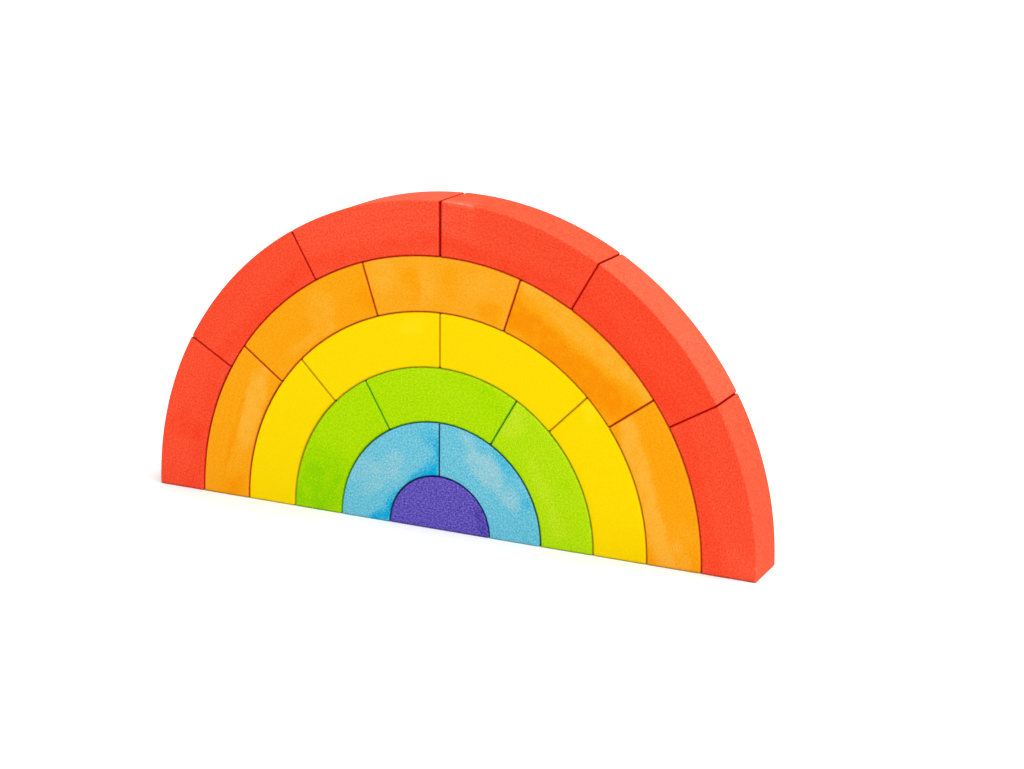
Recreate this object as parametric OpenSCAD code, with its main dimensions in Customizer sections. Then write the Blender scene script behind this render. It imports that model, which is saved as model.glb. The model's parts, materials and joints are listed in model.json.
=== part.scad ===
// Rainbow of loose wooden blocks: a half disc in the middle, and rings of arc blocks nested round it.
// It stands on its flat foot, with X along its width, Y through its thickness and Z up.
// The origin is the middle of the foot.

/* [Rings] */
// Radius of the half disc in the middle
core_r = 30; // [20:1:45]
// Width of each ring, from its inner to its outer curve
ring_w = 30; // [20:1:45]
// Angle that a ring's joints are spread over: 180 makes its blocks alike, and less makes its feet longer
span = 180; // [150:1:210]

/* [Blocks] */
// Thickness of the board that every block is sawn from
block_t = 30; // [16:1:40]
// Gap that sawing and sanding leave between neighbouring blocks
block_gap = 0.4; // [0.3:0.1:1]
// Gap at the crown of the outer ring, where the two top blocks stand a little further apart
crown_gap = 1; // [0.3:0.1:2]
// Radius of the sanded edges, the same all round a block
edge_r = 1; // [0.8:0.1:3]

/* [Hidden] */
// Colour of the half disc
CORE_COLOUR = "#5F50B7";
// Each ring from the inside out: its colour, then its blocks from the right foot to the left foot
RINGS = [
    ["#6DC4D9", ["blue_right", "blue_left"]],
    ["#B0E107", ["green_right_foot", "green_keystone", "green_left_foot"]],
    ["#FDDC01", ["yellow_right_foot", "yellow_right_crown", "yellow_left_crown", "yellow_left_foot"]],
    ["#FDA61B", ["orange_right_foot", "orange_right_shoulder", "orange_keystone",
                 "orange_left_shoulder", "orange_left_foot"]],
    ["#FC4F31", ["red_right_foot", "red_right_shoulder", "red_right_crown",
                 "red_left_crown", "red_left_shoulder", "red_left_foot"]],
];

// Flats that the sanded edges turn through: along the ring, at the corners of an end, and across an end.
// The counts differ, so that where the edges run together no more than three flats meet in a point.
ring_flats = 4;
corner_flats = 3;
end_flats = 5;
// The end flats of a rounding cut are this many times as long, to pass through the faces they meet
overshoot = 3;
// Angle by which a ring runs on past each end of a block before the end is cut
spare_angle = 2;
// Radius of the whole rainbow, and a length that reaches right across it from anywhere inside
rainbow_r = core_r + len(RINGS) * ring_w;
reach = 3 * rainbow_r;
// Height of the centre of a sanded edge above the middle of the board
edge_z = block_t / 2 - edge_r;
$fn = 120;

// Points round a sanded edge with centre c and n flats, from direction a to direction b
function edge(c, a, b, n) =
    [for (i = [0:n])
        let (turn = a + (b - a) * i / n)
        c + edge_r * [cos(turn), sin(turn)]];

// The same edge as the line of a cut, with its end flats drawn out past the faces of the block
function edge_cut(c, a, b, n) =
    let (p = edge(c, a, b, n))
    [for (i = [0:n])
        i == 0 ? p[1] + overshoot * (p[0] - p[1]) :
        i == n ? p[n - 1] + overshoot * (p[n] - p[n - 1]) : p[i]];

// Cut lines of the two corners of an end face, seen from the front of the board.
// The first axis runs outwards along the end face, and the second axis into the block.
function outer_corner(r, inset) =
    let (v = inset + edge_r, u = sqrt(pow(r - edge_r, 2) - v * v))
    edge_cut([u, v], atan2(v, u), -90, corner_flats);

function inner_corner(r, inset) =
    let (v = inset + edge_r, u = sqrt(pow(r + edge_r, 2) - v * v))
    edge_cut([u, v], -90, atan2(v, u) - 180, corner_flats);

// The same line on the other side of the middle, in the opposite order
function mirrored(line) =
    [for (i = [len(line) - 1:-1:0]) [-line[i][0], line[i][1]]];

// Section through a ring, sanded round; with no inner radius it reaches in to the middle
module ring_section(r_in, r_out) {
    outside = concat(
        edge([r_out - edge_r, -edge_z], -90, 0, ring_flats),
        edge([r_out - edge_r, edge_z], 0, 90, ring_flats));
    inside = r_in > 0
        ? concat(
            edge([r_in + edge_r, edge_z], 90, 180, ring_flats),
            edge([r_in + edge_r, -edge_z], 180, 270, ring_flats))
        : [[0, block_t / 2], [0, -block_t / 2]];
    polygon(concat(outside, inside));
}

// What an end cut keeps, seen from the front: all that lies inside the two sanded corners
module end_front(first, last) {
    linear_extrude(2 * block_t, center = true)
        polygon(concat(
            [[reach, reach], [reach, first[0][1]]],
            first,
            last,
            [[-reach, last[corner_flats][1]], [-reach, reach]]));
}

// What an end cut keeps, seen along the end face: all behind the face and inside its two sanded edges
module end_side(inset) {
    front = edge_cut([inset + edge_r, edge_z], 90, 180, end_flats);
    back = edge_cut([inset + edge_r, -edge_z], 180, 270, end_flats);
    rotate([90, 0, 90])
        linear_extrude(2 * reach, center = true)
            polygon(concat(
                [[reach, block_t], [front[0][0], block_t]],
                [for (i = [0:end_flats - 1]) front[i]],
                [[inset, edge_z], [inset, -edge_z]],
                [for (i = [1:end_flats]) back[i]],
                [[back[end_flats][0], -block_t], [reach, -block_t]]));
}

// One end of an arc block, cut square to the ring and sanded round
module arc_end(r_in, r_out, inset) {
    intersection() {
        end_front(outer_corner(r_out, inset), inner_corner(r_in, inset));
        end_side(inset);
    }
}

// Stands a block that was drawn lying on its back up on the foot
module stand() {
    rotate([90, 0, 0]) children();
}

// Half disc in the middle: one foot, and no inner curve
module half_disc() {
    corner = outer_corner(core_r, 0);
    color(CORE_COLOUR)
        stand()
            intersection() {
                rotate_extrude() ring_section(0, core_r);
                end_front(corner, mirrored(corner));
                end_side(0);
            }
}

// Angle of a joint in a ring, counted from the right foot; the first and the last lie on the ground
function joint_angle(ring, joint) =
    let (count = len(RINGS[ring][1]))
    joint == 0 ? 0 : joint == count ? 180 : 90 + span * (joint / count - 1 / 2);

// How far an end face stands back from its joint; a foot stands on the ground
function end_inset(ring, joint) =
    let (count = len(RINGS[ring][1]), at_crown = ring == len(RINGS) - 1 && 2 * joint == count)
    joint == 0 || joint == count ? 0 : (at_crown ? crown_gap : block_gap) / 2;

// Arc block at a place in a ring, counted from the right foot
module arc_block(ring, place) {
    from = joint_angle(ring, place);
    to = joint_angle(ring, place + 1);
    r_out = core_r + (ring + 1) * ring_w;
    r_in = r_out - ring_w + block_gap;
    color(RINGS[ring][0])
        stand()
            intersection() {
                rotate_extrude(angle = to - from + 2 * spare_angle, start = from - spare_angle)
                    ring_section(r_in, r_out);
                rotate(from)
                    arc_end(r_in, r_out, end_inset(ring, place));
                rotate(to)
                    mirror([0, 1, 0])
                        arc_end(r_in, r_out, end_inset(ring, place + 1));
            }
}

half_disc();  // purple_half_disc
for (ring = [0:len(RINGS) - 1])
    for (place = [0:len(RINGS[ring][1]) - 1])
        arc_block(ring, place);
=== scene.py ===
# %% [markdown]
# # A rainbow of dyed wooden blocks
#
# The toy is a half disc with five rings of arc blocks nested round it. Every block is one piece of wood:
# sawn from a planed board, sanded round on all its edges, and dipped in a water dye that dries matt.
# Nothing holds the blocks together, so each one is a piece of its own here and slides out of the rainbow
# by itself.
#
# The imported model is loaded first. It is the frame that everything else is measured from, and its box is
# kept, because the finished pieces have to stay inside it.

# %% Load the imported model
import json
import math

import bmesh
import bpy
from mathutils import Matrix, Vector, noise


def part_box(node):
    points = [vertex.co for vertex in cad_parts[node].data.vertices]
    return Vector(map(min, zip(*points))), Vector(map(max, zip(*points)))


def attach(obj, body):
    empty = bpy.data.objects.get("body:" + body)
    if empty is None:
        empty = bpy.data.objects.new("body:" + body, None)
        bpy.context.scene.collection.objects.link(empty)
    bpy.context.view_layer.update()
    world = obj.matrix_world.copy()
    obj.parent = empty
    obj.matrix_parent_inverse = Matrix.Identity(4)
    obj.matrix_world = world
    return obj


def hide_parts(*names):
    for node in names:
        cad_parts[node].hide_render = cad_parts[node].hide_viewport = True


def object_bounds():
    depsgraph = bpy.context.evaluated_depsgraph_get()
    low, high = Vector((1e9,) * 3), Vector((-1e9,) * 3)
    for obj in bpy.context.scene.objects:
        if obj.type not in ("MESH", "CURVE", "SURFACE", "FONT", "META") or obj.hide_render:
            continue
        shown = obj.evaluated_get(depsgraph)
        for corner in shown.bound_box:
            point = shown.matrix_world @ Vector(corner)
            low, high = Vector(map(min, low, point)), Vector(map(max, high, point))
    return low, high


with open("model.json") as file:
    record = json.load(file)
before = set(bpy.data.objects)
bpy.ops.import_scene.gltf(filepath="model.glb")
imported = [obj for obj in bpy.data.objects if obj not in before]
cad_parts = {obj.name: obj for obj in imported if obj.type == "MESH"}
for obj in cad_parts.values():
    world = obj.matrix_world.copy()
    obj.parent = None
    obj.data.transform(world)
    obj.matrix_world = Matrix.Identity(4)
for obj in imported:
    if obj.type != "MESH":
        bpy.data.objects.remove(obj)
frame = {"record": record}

cad_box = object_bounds()
print("size of the packed model in mm:", [round(1000 * s, 1) for s in cad_box[1] - cad_box[0]])

# %% [markdown]
# ## What the frame says about the blocks
#
# The record lists the blocks ring by ring, from the inside out and from the right foot to the left foot.
# The radii, the thickness and the gaps could be typed in again, but reading them off the boxes of the
# packed blocks keeps the two models the same. They are rounded to a tenth of a millimetre, because the
# sanded corners make a block's box a hair smaller than its ring.

# %% Rings, radii and gaps
MM = 0.001

rings = {}
for part in frame["record"]["subparts"]:
    rings.setdefault(part["material_slot"], []).append(part["node"])
outermost = list(rings)[-1]


def tenth(length):
    return round(length / MM, 1) * MM


outer_radius = {slot: tenth(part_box(blocks[0])[1].x) for slot, blocks in rings.items()}
half_thickness = cad_box[1].y
block_gap = tenth(2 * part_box("blue_right")[0].x)
crown_gap = tenth(2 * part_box("red_right_crown")[0].x)
for slot, blocks in rings.items():
    print(f"{slot}: {len(blocks)} block(s), outer radius {outer_radius[slot] / MM:.1f} mm")
print(f"gap {block_gap / MM:.1f} mm, at the crown {crown_gap / MM:.1f} mm")

# %% [markdown]
# ## The blank of an arc block
#
# On the real toy the arcs are sawn out of a board. A curve with a bevel or a bent cube could make the
# same shape, but a spin does it in one step and keeps the curves truly round: the board's cross section,
# a plain rectangle, is swung round the middle of the rainbow from one end of the block to the other.
# Each sawn end then stands back by half the gap to its neighbour. A foot stands on the ground and keeps
# its place.

# %% Spin the cross section of a board
SPIN_AXIS = Vector((0, -1, 0))
FACET = 1.8 * MM
TINY = 0.001 * MM


def turned(angle):
    return Matrix.Rotation(angle, 3, SPIN_AXIS)


def spin_blank(inner, outer, start, end, start_inset, end_inset):
    blank = bmesh.new()
    front, rear = -half_thickness, half_thickness
    corners = [(inner, front), (outer, front), (outer, rear), (inner, rear)]
    section = blank.faces.new([blank.verts.new((r, y, 0)) for r, y in corners])
    bmesh.ops.rotate(blank, verts=blank.verts, cent=(0, 0, 0), matrix=turned(start))
    bmesh.ops.spin(
        blank, geom=[section, *section.edges, *section.verts], cent=(0, 0, 0), axis=SPIN_AXIS,
        angle=end - start, steps=math.ceil(outer * (end - start) / FACET))
    bmesh.ops.recalc_face_normals(blank, faces=blank.faces)
    for angle, inset in ((start, start_inset), (end, -end_inset)):
        along = turned(angle) @ Vector((0, 0, 1))
        sawn = [v for v in blank.verts if abs(v.co.dot(along)) < TINY]
        bmesh.ops.translate(blank, verts=sawn, vec=along * inset)
    return blank


print(f"an outer curve is spun in steps of at most {FACET / MM:.1f} mm")

# %% [markdown]
# ## The blank of the half disc
#
# The half disc has no inner curve to spin round, so it is sawn the way a maker would: a round plate, cut
# in two through the middle, and as thick as the board. A filled circle, one bisecting plane and one
# extrusion say exactly that.

# %% Saw a round plate in two
ROUND_PLATE_SEGMENTS = 96


def halve_plate(radius):
    blank = bmesh.new()
    bmesh.ops.create_circle(blank, cap_ends=True, radius=radius, segments=ROUND_PLATE_SEGMENTS)
    upright = Matrix.Rotation(math.pi / 2, 3, "X")
    bmesh.ops.rotate(blank, verts=blank.verts, cent=(0, 0, 0), matrix=upright)
    bmesh.ops.translate(blank, verts=blank.verts, vec=(0, -half_thickness, 0))
    bmesh.ops.bisect_plane(
        blank, geom=[*blank.verts, *blank.edges, *blank.faces], dist=TINY,
        plane_co=(0, 0, 0), plane_no=(0, 0, 1), clear_inner=True)
    grown = bmesh.ops.extrude_face_region(blank, geom=blank.faces[:], use_keep_orig=True)
    back = [v for v in grown["geom"] if isinstance(v, bmesh.types.BMVert)]
    bmesh.ops.translate(blank, verts=back, vec=(0, 2 * half_thickness, 0))
    bmesh.ops.recalc_face_normals(blank, faces=blank.faces)
    return blank


print(f"the round plate has {ROUND_PLATE_SEGMENTS} sides, and half of them stay")

# %% [markdown]
# ## Sanding
#
# A blank leaves the saw with sharp edges, and a child's toy is sanded until none is left. A Bevel
# modifier could do it, but a bevel in the mesh also hands back the faces that it made. They are noted in
# an attribute called edge, which the finish later uses for wear: 1 on the rounding, and less where the
# rounding runs into a flat face.

# %% Round the edges
EDGE_RADIUS = 1.0 * MM
EDGE_SEGMENTS = 4
SHARP = math.radians(30)
EDGE_RIM = 0.3


def round_edges(blank):
    sharp = [e for e in blank.edges if e.calc_face_angle(0) > SHARP]
    made = bmesh.ops.bevel(
        blank, geom=sharp, offset=EDGE_RADIUS, offset_type="OFFSET", segments=EDGE_SEGMENTS,
        profile=0.5, affect="EDGES", material=-1, clamp_overlap=True)
    sanded = set(made["faces"])
    edge = blank.verts.layers.float.new("edge")
    for face in sanded:
        for v in face.verts:
            v[edge] = 1.0 if sanded.issuperset(v.link_faces) else EDGE_RIM


print(f"edges are rounded by {EDGE_RADIUS / MM:.1f} mm in {EDGE_SEGMENTS} flats")

# %% [markdown]
# ## Points to hang the dye on
#
# An attribute can only change from point to point, and the faces of a sanded blank still reach right
# across the board. A Subdivision modifier would cut the short edges as often as the long ones, so the
# edges are divided by their own length until none is longer than a facet. The front of the half disc is
# one large polygon that can't be divided like this. It is first cut into strips both ways, like a tray of
# cake.

# %% Divide the faces
X, Z = 0, 2


def divide_faces(blank):
    while True:
        cuts = {e: math.ceil(e.calc_length() / FACET - TINY) - 1 for e in blank.edges}
        most = max(cuts.values())
        if most < 1:
            break
        longest = [e for e, n in cuts.items() if n == most]
        bmesh.ops.subdivide_edges(blank, edges=longest, cuts=most, use_grid_fill=True)


def slice_faces(blank, low, high, axis):
    normal = Vector((0, 0, 0))
    normal[axis] = 1
    for i in range(1, math.ceil((high - low) / FACET)):
        bmesh.ops.bisect_plane(
            blank, geom=[*blank.verts, *blank.edges, *blank.faces], dist=TINY,
            plane_co=normal * (low + i * FACET), plane_no=normal)


print(f"no edge stays longer than {FACET / MM:.1f} mm")

# %% [markdown]
# ## Painted shade in the joints and at the feet
#
# Shade is painted where two blocks meet, in the narrow gap between them, and along the edges of a foot and
# in the joints of the rim. It could be painted in an image, but every point already tells which way it
# faces and how far it is from the front, the back or the rim. So the places are worked out, and kept in two
# attributes: one for the painted shade in the joints, one for the painted shade at the feet and in the rim
# joints. On the wide outer curves the painted shade in the joints is weaker.

# %% Note the painted shade in the joints and at the feet
SHADE_DEPTH = 1.5 * MM
OUTER_SHADE_SHARE = 0.35
OUTER_SHADE_RADIUS = 75 * MM
FALL_OFF = 3


def near_edge(depth):
    return min(1.0, max(0.0, 1 - (depth - EDGE_RADIUS) / SHADE_DEPTH))


def facings(v, joint_ends, has_inside, rim):
    radial = Vector((v.co.x, 0, v.co.z)).normalized()
    inward = -v.normal.dot(radial) if has_inside else 0
    outward = 0 if rim else v.normal.dot(radial)
    endward = max((v.normal.dot(end) for end in joint_ends), default=0)
    return inward, outward, endward


def note_painted_shade(blank, joint_ends, has_inside, rim):
    joint_shade = blank.verts.layers.float.new("joint_shade")
    foot_and_rim_shade = blank.verts.layers.float.new("foot_and_rim_shade")
    stands = len(joint_ends) < 2
    blank.normal_update()
    for v in blank.verts:
        inward, outward, endward = facings(v, joint_ends, has_inside, rim)
        radius = math.hypot(v.co.x, v.co.z)
        near_rim = near_edge(rim - radius) if rim else 0
        near = max(near_edge(half_thickness - abs(v.co.y)), near_rim)
        # painted shade: weaker on the outward faces of the wide outer rings
        shade_share = OUTER_SHADE_SHARE if radius > OUTER_SHADE_RADIUS else 1.0
        # painted shade in the joints: faces that meet a neighbour darken towards the front, the back and
        # the rim
        joint_shade_reach = max(max(inward, endward, 0) ** FALL_OFF, shade_share * max(outward, 0) ** FALL_OFF)
        # painted shade at the feet: faces that stand on the floor darken near their edges, and so do the
        # rim joints
        footward = max(-v.normal.z, 0) if stands else 0
        v[joint_shade] = joint_shade_reach * near
        v[foot_and_rim_shade] = max(footward * near, endward ** FALL_OFF * near_rim)


print(f"seams reach {(EDGE_RADIUS + SHADE_DEPTH) / MM:.1f} mm deep into a joint")

# %% [markdown]
# ## A surface worked by hand
#
# Hands and a sanding belt never leave a true plane, so the surface is moved in by up to a tenth of a
# millimetre in slow waves. A Displace modifier could do that too, but the joints need something else:
# their hidden faces swell just behind the sanded edges until they almost touch, because real blocks lean
# on each other there, and no light shines through. The waves only go inwards and the swelling stays
# within the gap, so no block grows into its neighbour or out of the box.

# %% Wave the faces and swell the joints
WAVE_DEPTH = 0.12 * MM
WAVE_LENGTH = 22 * MM
TOUCH = 0.015 * MM
RELIEF = 0.06 * MM
CROWN_POWER = 16
FACING = 0.95


def work_surface(blank, joint_ends, has_inside, rim, seed):
    closed = block_gap - TOUCH
    for v in blank.verts:
        normal = v.normal.copy()
        inward, outward, endward = facings(v, joint_ends, has_inside, rim)
        facing = max(inward, outward, endward, 0)
        if facing > FACING:
            middle = 1 - (v.co.y / half_thickness) ** CROWN_POWER
            swell = (inward > FACING) * closed + (endward > FACING) * closed / 2
            v.co += normal * ((swell + RELIEF) * middle - RELIEF)
        else:
            wave = 0.5 + 0.5 * noise.noise(v.co / WAVE_LENGTH + seed)
            v.co -= normal * (WAVE_DEPTH * wave + RELIEF * facing)


print(f"waves up to {WAVE_DEPTH / MM:.2f} mm deep, joints closed to {TOUCH / MM:.3f} mm")

# %% [markdown]
# ## How the dye took
#
# Dye goes into wood unevenly: more between some year rings, less where the wood is dense, and always in
# streaks along the grain, which runs straight from one end of a block to the other. The streaks are listed
# block by block, as soft marks in an attribute called dye. Each mark gives its middle along the grain and
# across it (outwards is positive), its half length, its half width, and how much deeper it is, with pale
# marks negative. Lengths are in millimetres. The first number of a block shifts the whole block. The rim of
# the outer ring has its own shift, which makes it paler: that is painted light, as if more light fell on it
# from above and the right. Painting an image would also do it, but a few marks stay sharp at any size.

# %% Marks in the dye
MARKS = {
    "purple_half_disc": (0.0, [(-25, -6, 3, 8, 0.7)]),
    "blue_right": (0.05, [
        (9, 0.5, 12, 7.5, -0.9), (-11, 2, 9, 5.5, -0.7), (25, 4, 8, 4, -0.5), (-21, 7, 3.5, 3, 0.5),
        (2, 13, 8, 3, 0.3)]),
    "blue_left": (0.0, [
        (0, -19, 60, 5.5, 1.0), (-34, -10, 6, 12, 0.6), (4, -1, 18, 7, -0.5), (14, 9, 12, 5, -0.35)]),
    "green_right_foot": (-0.15, [
        (36, -4, 8, 9, -0.8), (0, -6, 20, 4, -0.6), (-22, -8, 7, 5, -0.5), (-7, 7, 3, 2.5, 0.6)]),
    "green_keystone": (0.0, [(-30, 0, 6, 8, 0.3)]),
    "green_left_foot": (0.1, [(26, -3, 26, 18, 0.8)]),
    "yellow_right_foot": (0.1, [(38, 4, 6, 4, -0.9), (-35, 0, 12, 12, 0.4)]),
    "yellow_right_crown": (0.0, []),
    "yellow_left_crown": (0.0, [(-28, 4, 9, 5, -0.8)]),
    "yellow_left_foot": (0.0, []),
    "orange_right_foot": (0.1, [
        (0, -10, 70, 6, -1.0), (-38, -1.5, 14, 5, -0.5), (-24, 7, 8, 6, -0.2)]),
    "orange_right_shoulder": (0.0, [(0, 8.5, 70, 5, -0.6), (0, -8.5, 70, 8.5, 1.0)]),
    "orange_keystone": (-0.25, [
        (34, 2, 8, 10, -0.3), (17.5, -1, 4, 12, 0.3), (9, 0, 5, 12, -0.4), (-5, 3, 5, 9, 0.3),
        (-29, -11, 7, 5, 0.7), (-24, 4, 9, 8, -0.2)]),
    "orange_left_shoulder": (0.05, [
        (-9, 0, 10, 12, -0.4), (-36, -11, 8, 9, 0.4), (4, -10.5, 20, 3, -0.5)]),
    "orange_left_foot": (0.0, [
        (-14, -8, 28, 6, -1.0), (36, -10, 10, 7, 0.5), (5, -1, 30, 1.2, 0.6)]),
    "red_right_foot": (0.0, [(-40, 0, 12, 14, -0.25), (0, -11, 80, 5, 0.25)]),
    "red_right_shoulder": (0.25, [(0, -11, 80, 5, 0.2)]),
    "red_right_crown": (0.05, [
        (36, 2, 14, 14, -0.3), (0, -11, 80, 5, 0.3), (41, 10.2, 6, 1.3, -1.5),
        (33, 11.9, 6, 1.3, -1.5)]),
    "red_left_crown": (-0.2, [(0, -11, 80, 5, 0.3)]),
    "red_left_shoulder": (0.0, [(0, -11, 80, 5, 0.3)]),
    "red_left_foot": (-0.05, [(6, 0, 9, 12, 0.35), (0, -11, 80, 5, 0.2)]),
}
# Painted light: how much paler the outward face of each block of the outer ring is made, as if lit from
# above.
RIM_PAINTED_LIGHT = {
    "red_right_foot": -0.25, "red_right_shoulder": -0.95, "red_right_crown": -0.35,
    "red_left_crown": -0.95, "red_left_shoulder": -0.4, "red_left_foot": -0.4,
}
print(sum(len(marks) for _, marks in MARKS.values()), "marks on", len(MARKS), "blocks")

# %% [markdown]
# ## Where a block sat in its board
#
# Grain, fibres and pores have to follow the wood and not the world, so every point of a block also knows
# its place in the board: along the grain, across it and through the thickness, in metres. A UV map has
# only two directions, so this is a vector attribute, called board. Each block is shifted to another
# place, because no two blocks come out of the same spot of a board.

# %% Board attribute
BOARD_STEP = Vector((0.31, 0.17, 0.23))


def board_axes(middle_angle):
    return turned(middle_angle) @ Vector((0, 0, 1)), turned(middle_angle) @ Vector((1, 0, 0))


def lay_board(blank, middle_angle, middle_radius, place):
    board = blank.verts.layers.float_vector.new("board")
    along, across = board_axes(middle_angle)
    for v in blank.verts:
        spot = Vector((v.co.dot(along), v.co.dot(across) - middle_radius, v.co.y))
        v[board] = spot + BOARD_STEP * place


print("shift from block to block in the board, in mm:", [round(s / MM) for s in BOARD_STEP])

# %% [markdown]
# ## Laying the marks
#
# A mark with a clean outline would look stamped. Noise makes its edge sway and its inside mottled. A broad
# mark comes from the wood itself and goes right through to the back, where it is fainter. A narrow one is
# a scratch or a worn streak: it sways less and stays at the front. Blender sets vector noise going by the
# clock unless it is given a seed, so it gets one, and the marks come out the same each time.

# %% Dye attribute
BACK_SHARE = 0.35
DRIFT_LENGTH = 11 * MM
DRIFT_ALONG, DRIFT_ACROSS = 6 * MM, 2.5 * MM
MOTTLE = 0.8
MOTTLE_LENGTH = 5 * MM
BROAD = 5
SCRATCH = 2
SCRATCH_DEPTH = 8
DRIFT_SHIFT, MOTTLE_SHIFT = 70, 30
DRIFT_SEED = 1
noise.seed_set(DRIFT_SEED)


def lay_dye(blank, node, middle_angle, middle_radius, place):
    dye = blank.verts.layers.float.new("dye")
    along, across = board_axes(middle_angle)
    shift, marks = MARKS[node]
    blank.normal_update()
    for v in blank.verts:
        x, y = v.co.dot(along), v.co.dot(across) - middle_radius
        outward = v.normal.dot(Vector((v.co.x, 0, v.co.z)).normalized())
        # painted light: the outward face of the outer ring is made paler
        depth = shift + RIM_PAINTED_LIGHT.get(node, 0) * max(outward, 0) ** FALL_OFF
        front = 0.5 - 0.5 * v.co.y / half_thickness
        drift = noise.noise_vector(v.co / DRIFT_LENGTH + BOARD_STEP * DRIFT_SHIFT * place)
        mottle = 1 + MOTTLE * noise.noise(v.co / MOTTLE_LENGTH + BOARD_STEP * MOTTLE_SHIFT * place)
        for mark_x, mark_y, length, width, amount in marks:
            sway = min(1, width / BROAD)
            off_x = (x + sway * DRIFT_ALONG * drift.x) / MM - mark_x
            off_y = (y + sway * DRIFT_ACROSS * drift.y) / MM - mark_y
            near = (off_x / length) ** 2 + (off_y / width) ** 2
            through = BACK_SHARE + (1 - BACK_SHARE) * front
            share = front ** SCRATCH_DEPTH if width < SCRATCH else through
            depth += mottle * amount * math.exp(-near ** FALL_OFF) * share
        v[dye] = depth


print(f"a broad mark keeps {BACK_SHARE:.0%} of its depth at the back")

# %% [markdown]
# ## From a blank to a piece
#
# A worked blank becomes an object that rides on the body of its block, so that it can be pulled out, and
# takes the place of the plain packed block. Smooth shading alone would bend the light on the flat faces.
# Sharp edges would cure that but spoil the sanding, so a Weighted Normal modifier is used: the large faces
# stay flat in the light while the rounded edges stay smooth.

# %% Hand a blank over to its body
def finish_piece(blank, node):
    for face in blank.faces:
        face.smooth = True
    mesh = bpy.data.meshes.new(f"{node}_block")
    blank.to_mesh(mesh)
    blank.free()
    piece = bpy.data.objects.new(f"{node}_block", mesh)
    bpy.context.scene.collection.objects.link(piece)
    flat = piece.modifiers.new("flat_faces", "WEIGHTED_NORMAL")
    flat.keep_sharp = True
    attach(piece, node)
    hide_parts(node)
    return piece


print("blocks to hand over:", sum(len(blocks) for blocks in rings.values()))

# %% [markdown]
# ## Making the blocks
#
# Each ring shares out the half circle equally between its blocks, so one loop makes them all, from the
# inside out. Twenty-one blocks drawn one by one would look the same, but a change of size would have to be
# made twenty-one times. At the crown of the outer ring the two blocks stand a little further apart.

# %% Spin, sand and place every block
WAVE_SHIFT = 40


def end_inset(slot, joint, count):
    if joint in (0, count):
        return 0.0
    at_crown = slot == outermost and 2 * joint == count
    return (crown_gap if at_crown else block_gap) / 2


pieces = {slot: [] for slot in rings}
inner = 0.0
place = 0
for slot, blocks in rings.items():
    outer, count = outer_radius[slot], len(blocks)
    has_inside = inner > 0.0
    rim = outer if slot == outermost else None
    for i, node in enumerate(blocks):
        start, end = math.pi * i / count, math.pi * (i + 1) / count
        if has_inside:
            insets = end_inset(slot, i, count), end_inset(slot, i + 1, count)
            blank = spin_blank(inner + block_gap, outer, start, end, *insets)
        else:
            blank = halve_plate(outer)
        round_edges(blank)
        if not has_inside:
            slice_faces(blank, -outer, outer, X)
            slice_faces(blank, 0.0, outer, Z)
        divide_faces(blank)
        middle_angle, middle_radius = (start + end) / 2, (inner + outer) / 2
        lay_board(blank, middle_angle, middle_radius, place)
        lay_dye(blank, node, middle_angle, middle_radius, place)
        ends = (start, -1, i > 0), (end, 1, i + 1 < count)
        joint_ends = [turned(angle) @ Vector((0, 0, side)) for angle, side, joins in ends if joins]
        note_painted_shade(blank, joint_ends, has_inside, rim)
        work_surface(blank, joint_ends, has_inside, rim, BOARD_STEP * WAVE_SHIFT * place)
        pieces[slot].append(finish_piece(blank, node))
        place += 1
    inner = outer
faces = sum(len(p.data.polygons) for ring in pieces.values() for p in ring)
print(place, "blocks with", faces, "faces")

# %% [markdown]
# ## Small helpers for shader nodes
#
# Node trees get long when every link is a line of its own. These helpers make a node, set its values and
# link its inputs in one call, and start a node group with named inputs and outputs.

# %% Node helpers
FLOAT, VECTOR, COLOUR = "NodeSocketFloat", "NodeSocketVector", "NodeSocketColor"


def add_node(tree, kind, inputs=None, **settings):
    node = tree.nodes.new(kind)
    for name, value in settings.items():
        setattr(node, name, value)
    for key, value in (inputs or {}).items():
        if isinstance(value, bpy.types.NodeSocket):
            tree.links.new(value, node.inputs[key])
        else:
            node.inputs[key].default_value = value
    return node


def add_group(name, inputs, outputs):
    tree = bpy.data.node_groups.new(name, "ShaderNodeTree")
    for label, kind in inputs.items():
        tree.interface.new_socket(label, in_out="INPUT", socket_type=kind)
    for label, kind in outputs.items():
        tree.interface.new_socket(label, in_out="OUTPUT", socket_type=kind)
    return tree, tree.nodes.new("NodeGroupInput").outputs, tree.nodes.new("NodeGroupOutput").inputs


def maths(tree, operation, *values, clamp=False):
    inputs = dict(enumerate(values))
    return add_node(tree, "ShaderNodeMath", inputs, operation=operation, use_clamp=clamp).outputs[0]


print("kinds of group sockets:", FLOAT, VECTOR, COLOUR)

# %% [markdown]
# ## Grain
#
# Three sizes of grain show on the blocks: clouds as wide as a finger, where the wood drinks more or less;
# fibres, long thin lines; and a fine speckle of cut pores. All three are noise, stretched along the board
# by a Mapping node. They are one node group, because all six dyes are on the same wood. A grain is written
# as its stretch, its scale, its detail, and the two levels of noise that are drawn out to 0 and 1.

# %% Grain group
GRAINS = {
    "Clouds": (3.0, 60, 3, 0.25, 0.75),
    "Fibres": (14.0, 650, 2, 0.25, 0.75),
    "Speckle": (1.3, 1200, 2, 0.2, 0.8),
}
NOISE_ROUGHNESS = 0.6


def stretched_noise(tree, vector, stretch, scale, detail, low, high):
    drawn_out = add_node(tree, "ShaderNodeMapping", {"Vector": vector, "Scale": (1 / stretch, 1, 1)})
    texture = add_node(
        tree, "ShaderNodeTexNoise",
        {"Vector": drawn_out.outputs[0], "Scale": scale, "Detail": detail, "Roughness": NOISE_ROUGHNESS})
    return add_node(
        tree, "ShaderNodeMapRange",
        {"Value": texture.outputs["Fac"], "From Min": low, "From Max": high}).outputs[0]


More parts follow.
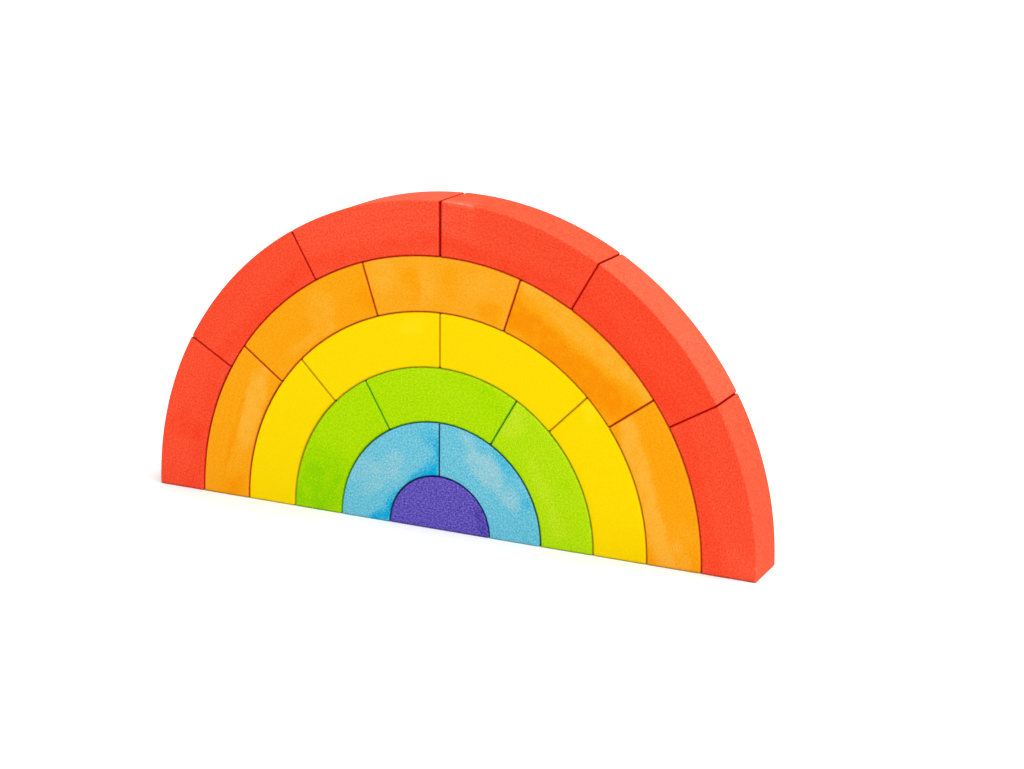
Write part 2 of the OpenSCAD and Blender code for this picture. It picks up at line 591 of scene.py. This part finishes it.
grain_group, given, result = add_group("wood grain", {"Board": VECTOR}, dict.fromkeys(GRAINS, FLOAT))
for name, recipe in GRAINS.items():
    grain_group.links.new(stretched_noise(grain_group, given["Board"], *recipe), result[name])
print("grain group:", len(grain_group.nodes), "nodes for", ", ".join(GRAINS))

# %% [markdown]
# ## How much dye the wood took
#
# The listed marks, the clouds, the fibres and the pores all say how much dye went in, so they are added up,
# and on the sanded edges some is rubbed off again. The sum is 0 for the plain tone, negative for pale wood
# and positive for deep colour. Six separate trees would do, but one group with named inputs serves all six
# dyes.

# %% Uptake in the dye group
def centred(tree, value, amount):
    return maths(tree, "MULTIPLY", maths(tree, "SUBTRACT", value, 0.5), amount)


dye_and_shade_group, given, result = add_group(
    "dye uptake and painted shade",
    {**dict.fromkeys(("Bare", "Pale", "Plain", "Deep", "Joint shade tone"), COLOUR),
     **dict.fromkeys(("Marks", "Edge", "Seam", "Foot and rim shade", "Clouds", "Fibres", "Speckle"), FLOAT),
     **dict.fromkeys(("Cloudiness", "Streaks", "Pores", "Graininess", "Wear"), FLOAT)},
    {"Colour": COLOUR})
clouded = centred(dye_and_shade_group, given["Clouds"], given["Cloudiness"])
uneven = maths(dye_and_shade_group, "ADD", given["Marks"], clouded)
streaky = maths(dye_and_shade_group, "ADD", uneven, centred(dye_and_shade_group, given["Fibres"], given["Streaks"]))
spotted = maths(dye_and_shade_group, "SUBTRACT", streaky, centred(dye_and_shade_group, given["Speckle"], given["Pores"]))
sanded = maths(dye_and_shade_group, "MULTIPLY", given["Edge"], given["Clouds"])
rubbed = maths(dye_and_shade_group, "MULTIPLY", sanded, given["Wear"])
uptake = maths(dye_and_shade_group, "SUBTRACT", spotted, rubbed)
print("uptake:", len(dye_and_shade_group.nodes), "nodes in the dye group")

# %% [markdown]
# ## From uptake to colour
#
# A dye has three tones: pale where the wood took little, plain, and deep where it took a lot. Where almost
# nothing is left on an edge, the bare wood begins to show. In the joints between blocks a fourth, dark tone
# is mixed in as painted shade. The speckle then makes the tone lighter or darker from pore to pore, and
# painted shade darkens it at the feet and in the rim joints. A colour ramp could hold the tones, but its
# stops can't be group inputs, so Mix nodes stand in for it. A Mix node gives its sockets for numbers,
# vectors and colours the same names, so those for colours go by number.

# %% Tones in the dye group
BARE_BELOW = -1.2
BARE_RATE = 0.25
FOOT_AND_RIM_DARKENING = 0.6
FACTOR, FIRST, SECOND, MIXED = 0, 6, 7, 2


def mix_tone(tree, factor, first, second):
    tones = {FACTOR: factor, FIRST: first, SECOND: second}
    return add_node(tree, "ShaderNodeMix", tones, data_type="RGBA").outputs[MIXED]


thin = maths(dye_and_shade_group, "MULTIPLY", uptake, -1.0, clamp=True)
thick = maths(dye_and_shade_group, "MULTIPLY", uptake, 1.0, clamp=True)
rubbed_through = maths(
    dye_and_shade_group, "MULTIPLY_ADD", uptake, -BARE_RATE, BARE_RATE * BARE_BELOW, clamp=True)
worn = maths(dye_and_shade_group, "MULTIPLY", rubbed_through, given["Edge"])
tone = mix_tone(dye_and_shade_group, thin, given["Plain"], given["Pale"])
tone = mix_tone(dye_and_shade_group, thick, tone, given["Deep"])
tone = mix_tone(dye_and_shade_group, worn, tone, given["Bare"])
# painted shade: a dark tone mixed in along the joints between blocks
tone = mix_tone(dye_and_shade_group, given["Seam"], tone, given["Joint shade tone"])
pore_shade = centred(dye_and_shade_group, given["Speckle"], given["Graininess"])
grain_shade = maths(dye_and_shade_group, "ADD", pore_shade, 1.0)
# painted shade: darker along the edges of the feet and in the joints of the rim
unshaded_share = maths(dye_and_shade_group, "MULTIPLY_ADD", given["Foot and rim shade"], -FOOT_AND_RIM_DARKENING, 1.0)
shade = maths(dye_and_shade_group, "MULTIPLY", grain_shade, unshaded_share)
speckled = add_node(dye_and_shade_group, "ShaderNodeVectorMath", {0: tone, "Scale": shade}, operation="SCALE")
dye_and_shade_group.links.new(speckled.outputs[0], result["Colour"])
print("uptake and colour:", len(dye_and_shade_group.nodes), "nodes in the dye group")

# %% [markdown]
# ## The feel of sanded wood
#
# Dyed wood without lacquer is matt and a little furry. The fibres and the speckle give the surface its
# tooth, through a Bump node, and make the roughness uneven. Real grooves would need millions of faces.
# Rounded edges are handled most, so they are a touch smoother.

# %% Surface group
FIBRE_HEIGHT = 0.5
ROUGHNESS, UNEVENNESS = 0.66, 0.16
HANDLED = 0.06

surface_group, given, result = add_group(
    "sanded surface",
    dict.fromkeys(("Fibres", "Speckle", "Edge"), FLOAT), dict.fromkeys(("Height", "Roughness"), FLOAT))
fibre_tooth = maths(surface_group, "MULTIPLY", given["Fibres"], FIBRE_HEIGHT)
tooth = maths(surface_group, "ADD", fibre_tooth, given["Speckle"])
surface_group.links.new(tooth, result["Height"])
matt = maths(surface_group, "MULTIPLY_ADD", given["Speckle"], UNEVENNESS, ROUGHNESS)
smoothed = maths(surface_group, "MULTIPLY_ADD", given["Edge"], -HANDLED, matt)
surface_group.links.new(smoothed, result["Roughness"])
print(f"roughness from {ROUGHNESS - HANDLED:.2f} to {ROUGHNESS + UNEVENNESS:.2f}")

# %% [markdown]
# ## Six dyes
#
# The six finishes differ in their tones and in how evenly the dye took: yellow is almost even, orange and
# green are the cloudiest, and purple shows its pores most. The tones are written as they look on a screen
# under the studio light further down. Blender counts in linear light, and that light is brighter than
# white, so the tones are converted and divided by it first.

# %% Tones of the dyes
# The darkest tone of each dye is painted shade for the joints between blocks.
DYES = {
    "purple_dyed_wood": {
        "Pale": (120, 105, 204), "Plain": (97, 81, 187), "Deep": (72, 60, 160), "Joint shade tone": (0, 0, 125),
        "Cloudiness": 0.3, "Pores": 3.3, "Graininess": 0.85},
    "blue_dyed_wood": {
        "Pale": (150, 206, 220), "Plain": (106, 197, 222), "Deep": (5, 174, 223), "Joint shade tone": (0, 92, 125),
        "Cloudiness": 0.3, "Pores": 1.4, "Graininess": 0.7},
    "green_dyed_wood": {
        "Pale": (195, 229, 32), "Plain": (177, 225, 1), "Deep": (147, 215, 0), "Joint shade tone": (84, 190, 0),
        "Cloudiness": 0.5, "Pores": 1.1, "Graininess": 0.5},
    "yellow_dyed_wood": {
        "Pale": (253, 225, 18), "Plain": (254, 220, 0), "Deep": (251, 214, 0), "Joint shade tone": (235, 178, 0),
        "Cloudiness": 0.4, "Pores": 1.0, "Graininess": 0.1},
    "orange_dyed_wood": {
        "Pale": (253, 180, 52), "Plain": (252, 165, 12), "Deep": (250, 146, 2), "Joint shade tone": (212, 50, 0),
        "Cloudiness": 0.5, "Pores": 1.0, "Graininess": 0.25},
    "red_dyed_wood": {
        "Pale": (254, 98, 70), "Plain": (252, 77, 46), "Deep": (247, 58, 26), "Joint shade tone": (216, 0, 0),
        "Cloudiness": 0.4, "Pores": 2.0, "Graininess": 0.3},
}
SHARED = {"Bare": (240, 205, 170), "Streaks": 0.25, "Wear": 0.5}
FRONT_LIGHT = 1.25


def linear(tone):
    shares = [c / 255 for c in tone]
    light = [s / 12.92 if s <= 0.04045 else ((s + 0.055) / 1.055) ** 2.4 for s in shares]
    return [share / FRONT_LIGHT for share in light] + [1.0]


for slot, recipe in DYES.items():
    print(slot, "plain tone in linear light:", [round(c, 3) for c in linear(recipe["Plain"])[:3]])

# %% [markdown]
# ## Dyed wood
#
# A material reads the attributes of the mesh, sends them through the three groups and ends in one
# Principled BSDF. Its specular level is near zero, because raw dyed wood has no gloss at all.

# %% Dyed wood materials
TOOTH = 0.05 * MM
TOOTH_STRENGTH = 0.6
GLOSS = 0.02


def link_inputs(tree, group, sockets):
    for name, socket in sockets.items():
        tree.links.new(socket, group.inputs[name])


def dyed_wood(slot, recipe):
    material = bpy.data.materials.new(slot)
    material.use_nodes = True
    tree = material.node_tree
    shader = tree.nodes["Principled BSDF"]
    board = add_node(tree, "ShaderNodeAttribute", attribute_name="board").outputs["Vector"]
    # two of these attributes hold painted shade, one for the joints and one for the feet and the rim
    marks, edge, joint_shade, foot_and_rim_shade = (
        add_node(tree, "ShaderNodeAttribute", attribute_name=name).outputs["Fac"]
        for name in ("dye", "edge", "joint_shade", "foot_and_rim_shade"))
    grain = add_node(tree, "ShaderNodeGroup", node_tree=grain_group)
    link_inputs(tree, grain, {"Board": board})
    grains = {name: grain.outputs[name] for name in GRAINS}
    dye = add_node(tree, "ShaderNodeGroup", node_tree=dye_and_shade_group)
    for name, value in {**recipe, **SHARED}.items():
        dye.inputs[name].default_value = linear(value) if isinstance(value, tuple) else value
    link_inputs(tree, dye, {**grains, "Marks": marks, "Edge": edge, "Seam": joint_shade, "Foot and rim shade": foot_and_rim_shade})
    surface = add_node(tree, "ShaderNodeGroup", node_tree=surface_group)
    link_inputs(
        tree, surface, {"Fibres": grains["Fibres"], "Speckle": grains["Speckle"], "Edge": edge})
    height = {"Height": surface.outputs["Height"], "Strength": TOOTH_STRENGTH, "Distance": TOOTH}
    bump = add_node(tree, "ShaderNodeBump", height)
    tree.links.new(dye.outputs["Colour"], shader.inputs["Base Color"])
    tree.links.new(surface.outputs["Roughness"], shader.inputs["Roughness"])
    tree.links.new(bump.outputs["Normal"], shader.inputs["Normal"])
    shader.inputs["Specular IOR Level"].default_value = GLOSS
    return material


for slot, recipe in DYES.items():
    finish = dyed_wood(slot, recipe)
    for piece in pieces[slot]:
        piece.data.materials.append(finish)
    print(slot, "on", len(pieces[slot]), "block(s)")

# %% [markdown]
# ## Floor
#
# The toy stands on a white studio sweep. A curved backdrop would do as well, but a floor that is wide
# enough fills the picture by itself.

# %% White floor
FLOOR_SIZE = 30.0
FLOOR_WHITE = 0.85
FLOOR_ROUGHNESS = 0.9
FLOOR_GLOSS = 0.1

sweep = bmesh.new()
bmesh.ops.create_grid(sweep, x_segments=1, y_segments=1, size=FLOOR_SIZE / 2)
floor_mesh = bpy.data.meshes.new("floor")
sweep.to_mesh(floor_mesh)
sweep.free()
floor = bpy.data.objects.new("floor", floor_mesh)
bpy.context.scene.collection.objects.link(floor)
white = bpy.data.materials.new("white_floor")
white.use_nodes = True
white_shader = white.node_tree.nodes["Principled BSDF"]
white_shader.inputs["Base Color"].default_value = (FLOOR_WHITE, FLOOR_WHITE, FLOOR_WHITE, 1)
white_shader.inputs["Roughness"].default_value = FLOOR_ROUGHNESS
white_shader.inputs["Specular IOR Level"].default_value = FLOOR_GLOSS
floor.data.materials.append(white)
print(f"floor {FLOOR_SIZE:.0f} m wide")

# %% [markdown]
# ## Light
#
# The soft light comes from everywhere, a little more from above and from the right. A white world gives
# the even part. A lamp that is as wide as a large softbox gives the rest; a Sun lamp with a wide angle
# lights the floor evenly to the horizon, which a near lamp can't. Colours are shown with the Standard
# view, because dyed toys are brighter than a film-like view allows.

# %% World and softbox
WORLD_STRENGTH = 0.275
SOFTBOX_STRENGTH = 5.0
SOFTBOX_ANGLE = math.radians(90)
SOFTBOX_FROM = Vector((0.46, -0.16, 0.87))

world = bpy.data.worlds.new("studio")
world.use_nodes = True
sky = world.node_tree.nodes["Background"]
sky.inputs["Color"].default_value = (1, 1, 1, 1)
sky.inputs["Strength"].default_value = WORLD_STRENGTH
bpy.context.scene.world = world

softbox = bpy.data.objects.new("softbox", bpy.data.lights.new("softbox", "SUN"))
softbox.data.energy = SOFTBOX_STRENGTH
softbox.data.angle = SOFTBOX_ANGLE
softbox.rotation_euler = SOFTBOX_FROM.to_track_quat("Z", "Y").to_euler()
bpy.context.scene.collection.objects.link(softbox)
bpy.context.scene.view_settings.view_transform = "Standard"
print(f"softbox of {math.degrees(softbox.data.angle):.0f} degrees, strength {softbox.data.energy:.1f}")

# %% [markdown]
# ## Camera
#
# The photograph was taken from a little above and to the right of the toy with a long lens. The angles,
# the lens and the place were worked out from the joints between the blocks, whose real places are known,
# and the picture is 1024 pixels wide.

# %% Camera at the photograph's angle
IMAGE_WIDTH = 1024
SENSOR_WIDTH = 36.0
FOCAL_PIXELS = 2073.25
AZIMUTH, ELEVATION, ROLL = (math.radians(a) for a in (25.102, 15.086, 0.696))
DISTANCE, SIDE, UP = 1132.77 * MM, 33.13 * MM, 75.17 * MM

camera = bpy.data.objects.new("camera", bpy.data.cameras.new("camera"))
camera.data.sensor_width = SENSOR_WIDTH
camera.data.lens = FOCAL_PIXELS * SENSOR_WIDTH / IMAGE_WIDTH
level = math.cos(ELEVATION)
back = Vector((math.sin(AZIMUTH) * level, -math.cos(AZIMUTH) * level, math.sin(ELEVATION)))
turn = back.to_track_quat("Z", "Y").to_matrix() @ Matrix.Rotation(ROLL, 3, "Z")
camera.matrix_world = turn.to_4x4()
camera.location = turn @ Vector((SIDE, UP, DISTANCE))
bpy.context.scene.collection.objects.link(camera)
bpy.context.scene.camera = camera
print(f"lens {camera.data.lens:.1f} mm, {camera.location.length / MM:.0f} mm from the middle of the foot")
